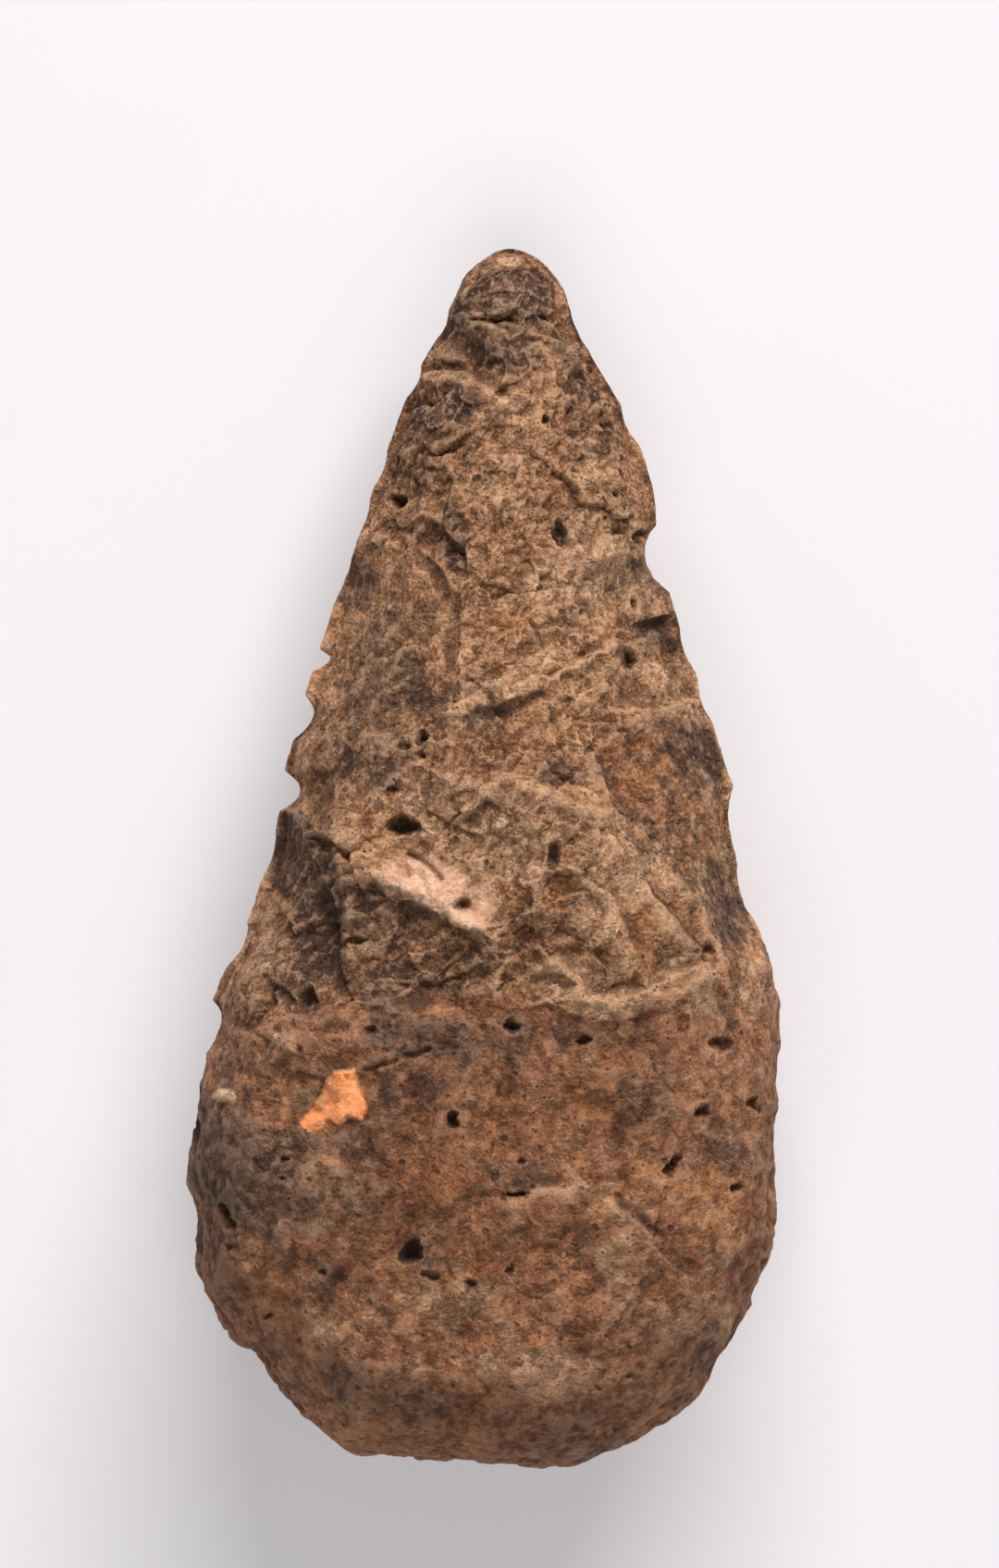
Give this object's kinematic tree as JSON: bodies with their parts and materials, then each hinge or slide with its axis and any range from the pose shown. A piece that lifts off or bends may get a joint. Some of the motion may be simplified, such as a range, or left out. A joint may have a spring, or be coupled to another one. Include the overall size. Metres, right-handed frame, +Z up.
{
  "type": "stone hand axe",
  "caption": "Pear-shaped knapped stone hand axe with a blunt point, scalloped cutting edges and a heavy rounded cortex butt.",
  "frame": {"origin": "centre of the footprint, on the floor under the stone as it lies", "axes": "+X across the stone, +Y from the butt to the tip, +Z up through the knapped face that lies uppermost"},
  "size_m": [0.0878, 0.18, 0.0474],
  "materials": {
    "stone": "rough brown knapped stone with weathered cortex"
  },
  "bodies": {
    "root": {"hand_axe": "stone"}
  },
  "joints": []
}
